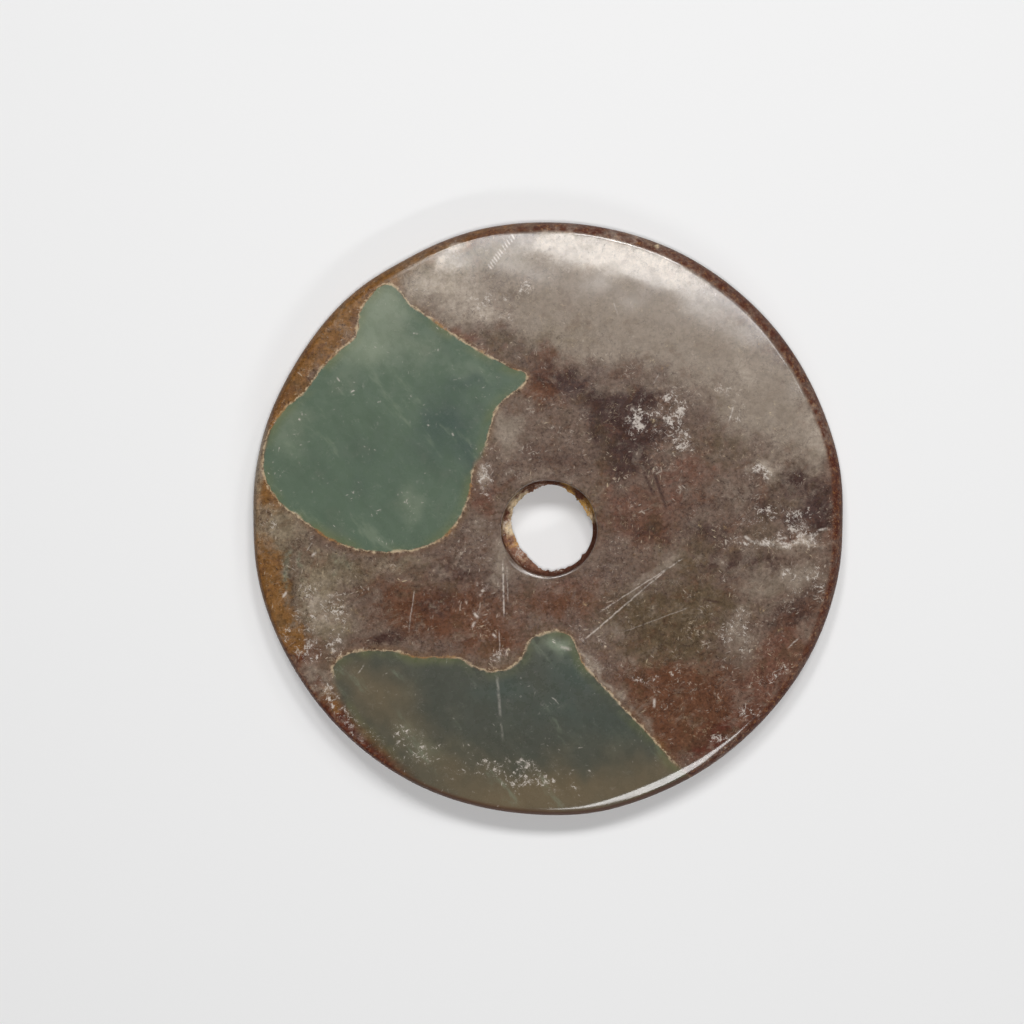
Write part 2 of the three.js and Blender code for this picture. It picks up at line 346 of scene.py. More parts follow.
        ((380, 470), 70, 40, 0, 0.3), ((572, 672), 34, 30, -50, 0.5), ((560, 715), 60, 24, 0, 0.3),
        ((615, 722), 50, 24, -45, 0.25), ((500, 690), 30, 16, 0, 0.5),
    ],
}
SKIN_KINDS = ["olive", "russet", "brick", "red", "amber", "plum", "ash_and_sheen", "khaki", "haze_and_sheen", "moss"]
PALE_KINDS = ["ash_and_sheen", "khaki", "haze_and_sheen"]  # these have evener outlines than the others
LEDGE_KINDS = ["copper", "honey_glow", "cream"]
WINDOW_KINDS = ["deep", "milky", "umber"]

# Colours of the ledge in the hole: kind, direction and spread in degrees, strength. Copper and chalk
# are its own colours; honey and cream here are painted glow, light shining through the thin ledge.
LEDGE_STAINS_AND_GLOW = [
    ("copper", 205, 70, 0.8),
    ("copper", 120, 60, 0.6),
    ("copper", 20, 30, 0.5),
    ("honey_glow", 30, 18, 1.0),
    ("honey_glow", 68, 12, 0.8),
    ("honey_glow", 198, 12, 0.5),
    ("cream", 12, 9, 0.8),
    ("cream", 142, 24, 1.0),
    ("cream", 182, 12, 0.9),
    ("cream", 232, 10, 0.4),
    ("chalk", 40, 50, 0.55),
    ("chalk", 150, 60, 0.65),
    ("chalk", 250, 60, 0.35),
]

# Straight scratches on the face: from pixel, to pixel, width in millimetres, strength. The pale ones hold
# dust, the dark ones dirt.
PALE_SCRATCHES = [
    ((583, 640), (668, 567), 0.25, 0.7),
    ((598, 612), (684, 557), 0.2, 0.6),
    ((503, 558), (504, 618), 0.26, 0.75),
    ((507, 562), (508, 604), 0.14, 0.5),
    ((499, 628), (500, 664), 0.2, 0.5),
    ((415, 588), (409, 632), 0.22, 0.45),
    ((497, 672), (501, 719), 0.45, 0.3),
    ((501, 719), (503, 742), 0.4, 0.18),
    ((556, 644), (573, 650), 0.6, 0.5),
    ((621, 632), (690, 606), 0.18, 0.3),
    ((733, 405), (727, 424), 0.25, 0.9),
    ((660, 372), (652, 386), 0.2, 0.5),
    ((612, 300), (618, 318), 0.2, 0.4),
    ((307, 552), (314, 541), 0.2, 0.6),
    ((337, 377), (341, 383), 0.28, 0.7),
    ((366, 662), (358, 674), 0.2, 0.6),
    ((473, 611), (480, 618), 0.5, 0.9),
    ((476, 620), (472, 628), 0.4, 0.9),
    ((492, 632), (497, 638), 0.4, 0.9),
    ((654, 696), (653, 708), 0.45, 0.8),
    ((289, 590), (283, 598), 0.45, 0.8),
    ((318, 551), (312, 557), 0.4, 0.8),
    ((413, 334), (419, 335), 0.3, 0.8),
    ((299, 419), (302, 421), 0.3, 0.8),
    ((427, 425), (430, 427), 0.3, 0.7),
    ((452, 433), (454, 437), 0.3, 0.6),
    ((742, 535), (750, 541), 0.5, 0.8),
    ((746, 540), (757, 543), 0.4, 0.6),
    ((757, 545), (772, 542), 0.5, 0.8),
    ((775, 538), (787, 538), 0.4, 0.9),
    ((776, 542), (788, 544), 0.5, 0.9),
    ((779, 547), (790, 544), 0.5, 0.9),
    ((788, 541), (800, 543), 0.4, 0.7),
    ((805, 537), (818, 533), 0.5, 0.7),
    ((815, 531), (827, 528), 0.4, 0.8),
    ((785, 649), (799, 636), 0.25, 0.6),
]
DARK_SCRATCHES = [
    ((641, 468), (654, 498), 0.6, 1.0),
    ((652, 470), (667, 512), 0.6, 1.0),
    ((700, 598), (722, 603), 0.5, 0.8),
]
FADE_SHARE = 0.35  # share of a scratch's length over which it fades out at each end
LONGEST_FADE = 1.5

# Rows of short parallel marks left by a chattering tool: from pixel, to pixel, number of marks.
CHATTER_ROWS = [
    ((490, 268), (501, 253), 7),
    ((504, 249), (513, 238), 5),
]
CHATTER_LENGTH = 8.5  # pixels
CHATTER_TURN = 125  # anticlockwise from the right, as the photograph is seen
CHATTER_WIDTH = 0.26
CHATTER_STRENGTH = 1.0

# Finish

COLOURS = {
    "skin": "#6a574b",
    "olive": "#594936",
    "russet": "#5f3d2a",
    "brick": "#654436",
    "plum": "#3d2721",
    "amber": "#7b562e",
    "ash_and_sheen": "#8a7c6e",
    "moss": "#757562",
    "cream": "#cdb897",
    "honey_glow": "#c79c58",
    "copper": "#8a6653",
    "chalk": "#d2c8be",
    "umber": "#6e604a",
    "celadon": "#586756",
    "deep": "#42504a",
    "dark green": "#4a4c43",
    "milky": "#7f8874",
    "edge green": "#686c44",
    "rim": "#5a3428",
    "red": "#552b20",
    "haze_and_sheen": "#b3a596",
    "khaki": "#80725e",
    "tan": "#a0743f",
    "floor": "#efefef",
}


def linear(name):
    """A named colour as linear RGBA."""
    text = COLOURS[name].lstrip("#")
    parts = [int(text[i : i + 2], 16) / 255 for i in (0, 2, 4)]
    return [p / 12.92 if p <= 0.04045 else ((p + 0.055) / 1.055) ** 2.4 for p in parts] + [1.0]


# Shape

angles = np.arange(TURNS) * 2 * np.pi / TURNS


def bump_at(direction, spread):
    """A smooth bump round the turn, 1 in the given direction."""
    away = (np.degrees(angles) - direction + 180) % 360 - 180
    return np.exp(-((away / spread) ** 2))


def round_waves(lowest, highest, seed):
    """Random waves round the turn with whole numbers of lobes, seldom more than 1 high."""
    waves = np.random.default_rng(seed)
    total = np.zeros(TURNS)
    for lobes in range(lowest, highest + 1):
        total += waves.normal() * np.sin(lobes * angles + waves.uniform(0, 2 * np.pi))
    return total / math.sqrt(2 * (highest - lowest + 1))


def plane_waves(x, y, shortest, longest, count, seed):
    """Random waves over the plan, from shortest to longest in millimetres, seldom more than 1 high."""
    waves = np.random.default_rng(seed)
    total = np.zeros_like(x)
    for _ in range(count):
        turn = waves.uniform(0, np.pi)
        length = waves.uniform(shortest, longest)
        along = x * math.cos(turn) + y * math.sin(turn)
        total += np.sin(2 * np.pi * along / length + waves.uniform(0, 2 * np.pi))
    return total / math.sqrt(2 * count)


swells = sum(height * bump_at(direction, spread) for direction, spread, height in OUTLINE_FEATURES)
outline = DISC_RADIUS + swells
bevel = RIM_BEVEL_WIDTH + RIM_BEVEL_CHANGE * np.cos(angles - math.radians(RIM_WIDE_SIDE))
chamfer_width = CHAMFER_WIDTH * bump_at(CHAMFER_SIDE, CHAMFER_SPREAD)
mouth_wobble = MOUTH_WOBBLE * round_waves(2, 9, 3)
mouth_worn_width = MOUTH_WORN_WIDTH * bump_at(MOUTH_WORN_SIDE, MOUTH_WORN_SPREAD)


def ramp(distance, softness):
    """0 before the distance reaches 0, and rising one for one after it, with a rounded bend between."""
    return softness * np.logaddexp(0, distance / softness)


def upper_face(x, y):
    """Height of the upper face without the wear of its arris."""
    height = HUB_THICKNESS - FACE_FALL * (np.hypot(x, y) / DISC_RADIUS) ** FACE_FALL_POWER
    for hollow_x, hollow_y, spread, depth in FACE_HOLLOWS:
        away = np.hypot(x - hollow_x, y - hollow_y)
        height = height - depth * np.exp(-((away / spread) ** 2))
    return height


def ground_face(x, y):
    """The upper face with the low waves and the flat left by grinding."""
    waves = GROUND_DEPTH * (1 + plane_waves(x, y, 7, 22, GROUND_WAVES, 5))
    side = math.radians(FACET_SIDE)
    start = FACET_START - FACET_WOBBLE * plane_waves(x, y, 6, 16, FACET_WAVES, 6)
    beyond = x * math.cos(side) + y * math.sin(side) - start
    return upper_face(x, y) - waves - FACET_SLOPE * ramp(beyond, FACET_SOFTNESS)


def worn_face(x, y):
    """The ground face with worn edges: the arris all round, a chamfer on one side and the hole's mouth."""
    before_edge = outline - bevel - np.hypot(x, y)
    arris = ARRIS_WEAR * np.clip(1 - before_edge / ARRIS_WEAR_WIDTH, 0, 1) ** 2
    arris = arris * (1 - chamfer_width / CHAMFER_WIDTH)
    ground_off = CHAMFER_SLOPE * ramp(chamfer_width - before_edge, CHAMFER_SOFTNESS)
    mouth_radius = UPPER_MOUTH_RADIUS + MOUTH_ROUNDING + mouth_wobble
    past_mouth = np.hypot(x - HOLE_CENTRE[0], y - HOLE_CENTRE[1]) - mouth_radius
    mouth = MOUTH_WORN_SLOPE * ramp(mouth_worn_width - past_mouth, MOUTH_WORN_SOFTNESS)
    return ground_face(x, y) - arris - ground_off - mouth


def underside(x, y):
    level_radius = DISC_RADIUS - UNDERSIDE_RISE_WIDTH
    into_ring = np.maximum(0, (np.hypot(x, y) - level_radius) / UNDERSIDE_RISE_WIDTH)
    return UNDERSIDE_RISE * into_ring**2


class Section:
    """Rings of vertices, with what each ring is part of."""

    def __init__(self):
        self.rings = []
        self.parts = {"bevel": [], "ledge": [], "bore": [], "under": [], "dull": []}

    def add(self, x, y, z, **shares):
        self.rings.append(np.column_stack([np.broadcast_to(part, TURNS) for part in (x, y, z)]))
        for name, values in self.parts.items():
            values.append(np.broadcast_to(np.asarray(shares.get(name, 0), float), TURNS))


def around(centre, radius):
    return centre[0] + radius * np.cos(angles), centre[1] + radius * np.sin(angles)


def add_hole(section):
    """The wall of the hole from the underside up to the upper face, and the ledge between the drillings."""
    lower = LOWER_MOUTH_RADIUS + mouth_wobble
    upper = UPPER_MOUTH_RADIUS + mouth_wobble
    ledge_low = LEDGE_HEIGHT - LEDGE_ROOT_THICKNESS / 2
    ledge_high = LEDGE_HEIGHT + LEDGE_ROOT_THICKNESS / 2
    mouth_x, mouth_y = around(HOLE_CENTRE, upper + MOUTH_ROUNDING)
    top = worn_face(mouth_x, mouth_y)
    for arc in np.linspace(0, np.pi / 2, MOUTH_RINGS):
        x, y = around(HOLE_CENTRE, lower + MOUTH_ROUNDING * (1 - math.sin(arc)))
        section.add(x, y, MOUTH_ROUNDING * (1 - math.cos(arc)), bore=0.5, under=1)
    for share in np.linspace(0, 1, BORE_RINGS)[1:]:
        x, y = around(HOLE_CENTRE, lower - BORE_TAPER * share)
        height = MOUTH_ROUNDING + (ledge_low - MOUTH_ROUNDING) * share
        section.add(x, y, height, bore=1, under=0.5, dull=1)

    chips = sum(bite * bump_at(direction, spread) for direction, spread, bite in LEDGE_CHIPS + LEDGE_TEETH)
    ragged = LEDGE_RAGGEDNESS * (0.6 * round_waves(12, 40, 7) + 0.5 * round_waves(40, 110, 8))
    tip_x, tip_y = around(LEDGE_CENTRE, LEDGE_RADIUS + chips + ragged)
    tip_height = LEDGE_HEIGHT + LEDGE_TIP_WAVES * round_waves(3, 24, 9)
    lower_x, lower_y = around(HOLE_CENTRE, lower - BORE_TAPER)
    upper_x, upper_y = around(HOLE_CENTRE, upper - BORE_TAPER)
    for share in np.linspace(0, 1, LEDGE_RINGS)[1:]:
        drop = tip_height - LEDGE_THICKNESS / 2 - ledge_low
        section.add(
            lower_x + (tip_x - lower_x) * share,
            lower_y + (tip_y - lower_y) * share,
            ledge_low + drop * share**LEDGE_LOWER_CURVE,
            ledge=share,
            bore=1,
            dull=1,
        )
    point_x, point_y = tip_x * LEDGE_TIP_SHARE, tip_y * LEDGE_TIP_SHARE
    section.add(point_x, point_y, tip_height, ledge=1, bore=1, dull=1)
    for number, share in enumerate(np.linspace(0, 1, 2 * LEDGE_RINGS)[:-1]):
        lumps = LEDGE_LUMPS * math.sin(math.pi * share) * round_waves(10, 60, 20 + number // 3)
        rise = ledge_high - tip_height - LEDGE_THICKNESS / 2
        section.add(
            tip_x + (upper_x - tip_x) * share,
            tip_y + (upper_y - tip_y) * share,
            tip_height + LEDGE_THICKNESS / 2 + rise * share**LEDGE_UPPER_CURVE + lumps,
            ledge=1 - 0.6 * share,
            bore=1,
            dull=1,
        )
    for share in np.linspace(0, 1, BORE_RINGS):
        height = ledge_high + (top - MOUTH_ROUNDING - ledge_high) * share
        rings = np.sin(2 * np.pi * height / DRILL_GROOVE_PITCH)
        groove = DRILL_GROOVE_DEPTH * rings * math.sin(math.pi * share)
        x, y = around(HOLE_CENTRE, upper - BORE_TAPER * (1 - share) + groove)
        section.add(x, y, height, bore=1, ledge=0.5, dull=1)
    for arc in np.linspace(0, np.pi / 2, MOUTH_RINGS)[1:]:
        x, y = around(HOLE_CENTRE, upper + MOUTH_ROUNDING * (1 - math.cos(arc)))
        section.add(x, y, top - MOUTH_ROUNDING * (1 - math.sin(arc)), bore=0.5)


def add_upper_face(section):
    inner_x, inner_y = around(HOLE_CENTRE, UPPER_MOUTH_RADIUS + mouth_wobble + MOUTH_ROUNDING)
    edge_x, edge_y = around((0, 0), outline - bevel)
    near_mouth = np.linspace(0, MOUTH_FACE_END, MOUTH_FACE_RINGS)[1:]
    between = np.linspace(MOUTH_FACE_END, EDGE_FACE_START, FACE_RINGS)[1:]
    near_edge = np.linspace(EDGE_FACE_START, 1, EDGE_FACE_RINGS)[1:]
    for share in np.concatenate([near_mouth, between, near_edge]):
        x = inner_x + (edge_x - inner_x) * share
        y = inner_y + (edge_y - inner_y) * share
        edge = np.clip(1 - (outline - bevel - np.hypot(x, y)) / ARRIS_WEAR_WIDTH, 0, 1)
        edge = edge * (1 - chamfer_width / CHAMFER_WIDTH)
        section.add(x, y, worn_face(x, y), bevel=edge, dull=RIM_DULLNESS * np.minimum(1, 2 * edge))


def add_rim(section):
    """The rounded rim, from the arris of the upper face over the widest line to the underside."""
    arris_x, arris_y = around((0, 0), outline - bevel)
    low_x, low_y = around((0, 0), outline - LOWER_BEVEL_WIDTH)
    top = worn_face(arris_x, arris_y)
    bottom = underside(low_x, low_y)
    middle = (top + bottom) / 2
    for step in range(1 - RIM_STEPS, RIM_STEPS + 1):
        above = step <= 0
        arc = np.pi / 2 - abs(step) / RIM_STEPS * (np.pi / 2 - ARRIS_ARC)
        width = bevel if above else LOWER_BEVEL_WIDTH
        inward = width * (1 - math.sin(arc)) / (1 - math.sin(ARRIS_ARC))
        share = math.cos(arc) / math.cos(ARRIS_ARC)
        height = middle + ((top if above else bottom) - middle) * share
        x, y = around((0, 0), outline - inward)
        section.add(x, y, height, bevel=1, under=0 if above else 0.5 * share, dull=RIM_DULLNESS)


def add_underside(section):
    inner_x, inner_y = around(HOLE_CENTRE, LOWER_MOUTH_RADIUS + mouth_wobble + MOUTH_ROUNDING)
    edge_x, edge_y = around((0, 0), outline - LOWER_BEVEL_WIDTH)
    for share in np.linspace(1, 0, UNDERSIDE_RINGS + 2)[1:-1]:
        x = inner_x + (edge_x - inner_x) * share
        y = inner_y + (edge_y - inner_y) * share
        section.add(x, y, underside(x, y), under=1)


# Marks of the stone


def to_photo(x, y):
    """Pixels of the photograph for places on the disc in millimetres."""
    return PHOTO_MIDDLE[0] + x / PIXEL, PHOTO_MIDDLE[1] - y / PIXEL


def to_disc(px, py):
    """Millimetres on the disc for a pixel of the photograph."""
    return (px - PHOTO_MIDDLE[0]) * PIXEL, (PHOTO_MIDDLE[1] - py) * PIXEL


def patch(px, py, place, half_length, half_width, turn):
    """A soft oval patch, 1 at its place. The turn is anticlockwise, as the photograph is seen."""
    right, down = px - place[0], py - place[1]
    c, s = math.cos(math.radians(turn)), math.sin(math.radians(turn))
    along, across = right * c - down * s, right * s + down * c
    return np.exp(-((along / half_length) ** 2) - (across / half_width) ** 2)


def stain_and_sheen_fields(x, y):
    """Strength of each kind of patch at each vertex, stains and painted sheen alike, with the patches'
    outlines made irregular.
    """
    px, py = to_photo(x, y)
    for size, shortest, longest, seed in PATCH_WAVES:
        px = px + size * plane_waves(x, y, shortest, longest, PATCH_WAVE_COUNT, seed)
        py = py + size * plane_waves(x, y, shortest, longest, PATCH_WAVE_COUNT, seed + 1)
    fields = {}
    for kind, patches in STAINS_AND_SHEEN.items():
        clean = np.ones_like(x)
        for place, half_length, half_width, turn, strength in patches:
            clean = clean * (1 - strength * patch(px, py, place, half_length, half_width, turn))
        fields[kind] = 1 - clean
    return fields


def smooth_outline(pixels, steps=6):
    """A closed curve through the pixels, as a polygon in millimetres."""
    corners = np.array([to_disc(*pixel) for pixel in pixels])
    before, after, beyond = (np.roll(corners, shift, axis=0) for shift in (1, -1, -2))
    curve = []
    for t in np.arange(steps) / steps:
        curve.append(
            0.5
            * (
                2 * corners
                + (after - before) * t
                + (2 * before - 5 * corners + 4 * after - beyond) * t**2
                + (3 * corners - before - 3 * after + beyond) * t**3
            )
        )
    return np.stack(curve, axis=1).reshape(-1, 2)


def inside_depth(x, y, polygon):
    """Distance to the polygon's edge, positive inside it."""
    nearest = np.full_like(x, np.inf)
    inside = np.zeros(x.shape, bool)
    for (ax, ay), (bx, by) in zip(polygon, np.roll(polygon, -1, axis=0)):
        step_x, step_y = bx - ax, by - ay
        share = np.clip(((x - ax) * step_x + (y - ay) * step_y) / (step_x**2 + step_y**2), 0, 1)
        nearest = np.minimum(nearest, np.hypot(x - ax - share * step_x, y - ay - share * step_y))
        crosses = (ay > y) != (by > y)
        reach = ax + (y - ay) * step_x / np.where(step_y == 0, 1e-9, step_y)
        inside ^= crosses & (x < reach)
    return np.where(inside, nearest, -nearest)


def window_fields(x, y, under):
    """Depth inside the nearest green window, the blur of its edge, and whether it is the lower one."""
    first = inside_depth(x, y, smooth_outline(UPPER_WINDOW)) - UPPER_WINDOW_END * under
    second = inside_depth(x, y, smooth_outline(LOWER_WINDOW)) - LOWER_WINDOW_END * under
    blur = WINDOW_BLUR + UNDERSIDE_BLUR * under
    px, py = to_photo(x, y)
    for place, spread, amount in WINDOW_BLURS:
        blur = blur + amount * patch(px, py, place, spread, spread, 0)
    return np.maximum(first, second), blur, (second > first).astype(float)


def disc_mesh():
    section = Section()
    add_hole(section)
    add_upper_face(section)
    add_rim(section)
    add_underside(section)
    points = np.concatenate(section.rings)
    count = len(section.rings)
    ring = np.arange(count)[:, None] * TURNS
    following = ((np.arange(count) + 1) % count)[:, None] * TURNS
    turn = np.arange(TURNS)[None, :]
    beside = (turn + 1) % TURNS
    corners = [ring + turn, ring + beside, following + beside, following + turn]
    faces = np.stack(corners, axis=-1).reshape(-1, 4)
    metres = (cad_high.x - cad_low.x) / outline_width()
    mesh = bpy.data.meshes.new("jade_disc")
    mesh.from_pydata((points * metres).tolist(), [], faces.tolist())
    mesh.polygons.foreach_set("use_smooth", np.ones(len(faces), bool))

    x, y = points[:, 0], points[:, 1]
    parts = {name: np.concatenate(values) for name, values in section.parts.items()}
    fields = stain_and_sheen_fields(x, y)
    ledge = parts.pop("ledge")
    for kind, direction, spread, strength in LEDGE_STAINS_AND_GLOW:
        added = strength * np.tile(bump_at(direction, spread), count) * ledge
        fields[kind] = 1 - (1 - fields[kind]) * (1 - added)
    window, blur, second = window_fields(x, y, parts["under"])
    fields.update(parts, window=window, window_blur=blur, second_window=second)
    for name, values in fields.items():
        attribute = mesh.attributes.new(name, "FLOAT", "POINT")
        attribute.data.foreach_set("value", np.asarray(values, np.float32))
    mesh.update()
    return mesh


def outline_width():
    """Width of the outline along X."""
    x = outline * np.cos(angles)
    return x.max() - x.min()


# Material


class Graph:
    """Adds nodes to a node tree."""

    def __init__(self, tree):
        self.nodes = tree.nodes
        self.links = tree.links
        self.place = None

    def set(self, socket, value):
        if isinstance(value, bpy.types.NodeSocket):
            self.links.new(value, socket)
        else:
            socket.default_value = value

    def attribute(self, name):
        node = self.nodes.new("ShaderNodeAttribute")
        node.attribute_name = name
        return node.outputs["Fac"]

    def math(self, operation, a, b=0.0, clamp=False):
        node = self.nodes.new("ShaderNodeMath")
        node.operation = operation
        node.use_clamp = clamp
        self.set(node.inputs[0], a)
        self.set(node.inputs[1], b)
        return node.outputs[0]

    def remap(self, value, low, high, new_low=0.0, new_high=1.0, smooth=True):
        node = self.nodes.new("ShaderNodeMapRange")
        node.interpolation_type = "SMOOTHSTEP" if smooth else "LINEAR"
        for name, part in (
            ("Value", value),
            ("From Min", low),
            ("From Max", high),
            ("To Min", new_low),
            ("To Max", new_high),
        ):
            self.set(node.inputs[name], part)
        return node.outputs[0]

    def mix(self, share, a, b):
        node = self.nodes.new("ShaderNodeMix")
        node.data_type = "RGBA"
        self.set(node.inputs[0], share)
        self.set(node.inputs[6], a)
        self.set(node.inputs[7], b)
        return node.outputs[2]

    def vector(self, operation, a, b):
        node = self.nodes.new("ShaderNodeVectorMath")
        node.operation = operation
        self.set(node.inputs[0], a)
        self.set(node.inputs["Scale" if operation == "SCALE" else 1], b)
        return node.outputs["Value" if operation == "DOT_PRODUCT" else "Vector"]

    def noise(self, size, detail=2.0, roughness=0.5, distortion=0.0, place=None):
        """Noise whose largest blobs are about so many millimetres wide."""
        node = self.nodes.new("ShaderNodeTexNoise")
        self.links.new(place or self.place, node.inputs["Vector"])
        node.inputs["Scale"].default_value = 1 / size
        node.inputs["Detail"].default_value = detail
        node.inputs["Roughness"].default_value = roughness
        node.inputs["Distortion"].default_value = distortion
        return node.outputs["Fac"]

    def stretched_place(self, turn, stretch, shift=0.0):
        """Places squeezed along one direction, in degrees, so that noise on them is drawn out along it."""
        node = self.nodes.new("ShaderNodeMapping")
        node.vector_type = "TEXTURE"
        self.links.new(self.place, node.inputs["Vector"])
        node.inputs["Location"].default_value = (shift, shift, shift)
        node.inputs["Rotation"].default_value = (0, 0, math.radians(turn))
        node.inputs["Scale"].default_value = (stretch, 1, 1)
        return node.outputs[0]


def new_material(name):
    """A material, the graph of its nodes, and its shader."""
    material = bpy.data.materials.new(name)
    material.use_nodes = True
    graph = Graph(material.node_tree)
    return material, graph, graph.nodes["Principled BSDF"]


def scratch_group():
    """A node group that gives 1 along one straight scratch and fades out at its ends."""
    group = bpy.data.node_groups.new("scratch", "ShaderNodeTree")
    for name, kind in (
        ("Place", "NodeSocketVector"),
        ("Start", "NodeSocketVector"),
        ("Along", "NodeSocketVector"),
        ("Across", "NodeSocketVector"),
        ("Length", "NodeSocketFloat"),
        ("Fade", "NodeSocketFloat"),
        ("Width", "NodeSocketFloat"),
        ("Wobble", "NodeSocketFloat"),
    ):
        group.interface.new_socket(name, in_out="INPUT", socket_type=kind)
    group.interface.new_socket("Mask", in_out="OUTPUT", socket_type="NodeSocketFloat")
    g = Graph(group)
    given = g.nodes.new("NodeGroupInput").outputs
    result = g.nodes.new("NodeGroupOutput")
    away = g.vector("SUBTRACT", given["Place"], given["Start"])
    along = g.vector("DOT_PRODUCT", away, given["Along"])
    across = g.vector("DOT_PRODUCT", away, given["Across"])
    beside = g.math("ABSOLUTE", g.math("ADD", across, given["Wobble"]))
    left = g.math("SUBTRACT", given["Length"], along)
    ends = g.math("MULTIPLY", g.remap(along, 0.0, given["Fade"]), g.remap(left, 0.0, given["Fade"]))
    line = g.math("SUBTRACT", 1.0, g.remap(beside, 0.0, given["Width"]))
    g.links.new(g.math("MULTIPLY", ends, line), result.inputs["Mask"])
    return group


def chatter_marks():
    """The scratches that make up the rows of chatter marks."""
    turn = math.radians(CHATTER_TURN)
    half = np.array([math.cos(turn), -math.sin(turn)]) * CHATTER_LENGTH / 2
    places = np.concatenate([np.linspace(start, end, count) for start, end, count in CHATTER_ROWS])
    return [(place - half, place + half, CHATTER_WIDTH, CHATTER_STRENGTH) for place in places]


def scratches(graph, group, marks, wobble, breaks):
    """The strongest of several scratches at each place."""
    total = None
    for start, end, width, strength in marks:
        node = graph.nodes.new("ShaderNodeGroup")
        node.node_tree = group
        (x0, y0), (x1, y1) = to_disc(*start), to_disc(*end)
        length = math.hypot(x1 - x0, y1 - y0)
        along = ((x1 - x0) / length, (y1 - y0) / length, 0)
        graph.links.new(graph.place, node.inputs["Place"])
        node.inputs["Start"].default_value = (x0, y0, 0)
        node.inputs["Along"].default_value = along
        node.inputs["Across"].default_value = (-along[1], along[0], 0)
        node.inputs["Length"].default_value = length
        node.inputs["Fade"].default_value = min(LONGEST_FADE, FADE_SHARE * length)
        node.inputs["Width"].default_value = width
        graph.links.new(wobble, node.inputs["Wobble"])
        mask = graph.math("MULTIPLY", node.outputs["Mask"], strength)
        total = mask if total is None else graph.math("MAXIMUM", total, mask)
    return graph.math("MULTIPLY", total, breaks)


def jade_material():
    """The whole stone. It is near the most nodes that the renderer takes: with eleven more scratches and
    five more nodes, the disc turned black without an error."""
    material, g, shader = new_material("jade")
    coordinates = g.nodes.new("ShaderNodeTexCoord")
    g.place = g.vector("SCALE", coordinates.outputs["Object"], PER_METRE)
    cloud = g.noise(8, 4, 0.6)
    mottle = g.noise(2.0, 4, 0.65)
    grain = g.noise(0.7, 4, 0.75)

    blur = g.attribute("window_blur")
    ragged = g.noise(1.4, 5, 0.7)
    depth = g.math("ADD", g.attribute("window"), g.remap(ragged, 0.2, 0.8, -0.35, 0.35, smooth=False))
    inside = g.remap(depth, g.math("MULTIPLY", blur, -1.0), blur)
    colour = g.mix(inside, skin_colour(g, cloud, mottle, grain), window_colour(g, cloud))

    width = g.remap(mottle, 0.35, 0.65, 0.08, 0.6)
    line = g.remap(g.math("ABSOLUTE", g.math("ADD", depth, 0.15)), 0.0, width, 0.75, 0.0)
    line = g.math("MULTIPLY", line, g.remap(blur, 0.2, 0.9, 1.0, 0.0))
    line = g.math("MULTIPLY", line, g.remap(grain, 0.38, 0.56, 0.15, 1.0))
    edge_colour = g.mix(g.remap(cloud, 0.5, 0.62), linear("cream"), linear("tan"))
    colour = g.mix(line, colour, edge_colour)
    bevel = g.attribute("bevel")
    colour = g.mix(g.math("MULTIPLY", g.math("MULTIPLY", bevel, inside), 0.7), colour, linear("rim"))

    clear = g.math("SUBTRACT", 1.0, g.math("MULTIPLY", bevel, 0.7))
    flecks = g.math("MULTIPLY", pale_flecks(g, inside), clear)
    whiter = g.remap(g.math("MAXIMUM", g.attribute("chalk"), inside), 0.15, 0.5)
    fleck_colour = g.mix(g.remap(cloud, 0.44, 0.56), linear("cream"), linear("haze_and_sheen"))
    colour = g.mix(flecks, colour, g.mix(whiter, fleck_colour, linear("chalk")))

    wobble = g.remap(mottle, 0.3, 0.7, -0.1, 0.1, smooth=False)
    breaks = g.remap(grain, 0.36, 0.58, 0.15, 1.0)
    group = scratch_group()
    on_top = g.math("SUBTRACT", 1.0, g.attribute("under"), clamp=True)
    pale = scratches(g, group, PALE_SCRATCHES + chatter_marks(), wobble, breaks)
    pale = g.math("MULTIPLY", pale, on_top)
    dark = g.math("MULTIPLY", scratches(g, group, DARK_SCRATCHES, wobble, breaks), on_top)
    colour = g.mix(pale, colour, linear("chalk"))
    colour = g.mix(dark, colour, linear("plum"))

    bump = g.nodes.new("ShaderNodeBump")
    bump.inputs["Strength"].default_value = 1.0
    bump.inputs["Distance"].default_value = GRAIN_DEPTH / PER_METRE
    g.links.new(g.math("ADD", mottle, g.math("MULTIPLY", grain, 0.5)), bump.inputs["Height"])

    dull = g.attribute("dull")
    polish = g.math("MULTIPLY", g.math("SUBTRACT", 1.0, dull), g.remap(mottle, 0.35, 0.6, 0.82, 1.0))
    roughness = g.math("ADD", g.remap(mottle, 0.3, 0.7, 0.22, 0.34), g.math("MULTIPLY", flecks, 0.25))
    g.links.new(colour, shader.inputs["Base Color"])
    g.links.new(bump.outputs[0], shader.inputs["Normal"])
    g.links.new(g.math("ADD", roughness, g.math("MULTIPLY", dull, 0.25)), shader.inputs["Roughness"])
    g.links.new(g.math("MULTIPLY", polish, 0.25), shader.inputs["Specular IOR Level"])
    g.links.new(polish, shader.inputs["Coat Weight"])
    shader.inputs["IOR"].default_value = 1.55
    shader.inputs["Coat Roughness"].default_value = 0.1
    shader.inputs["Coat IOR"].default_value = 1.6
    return material


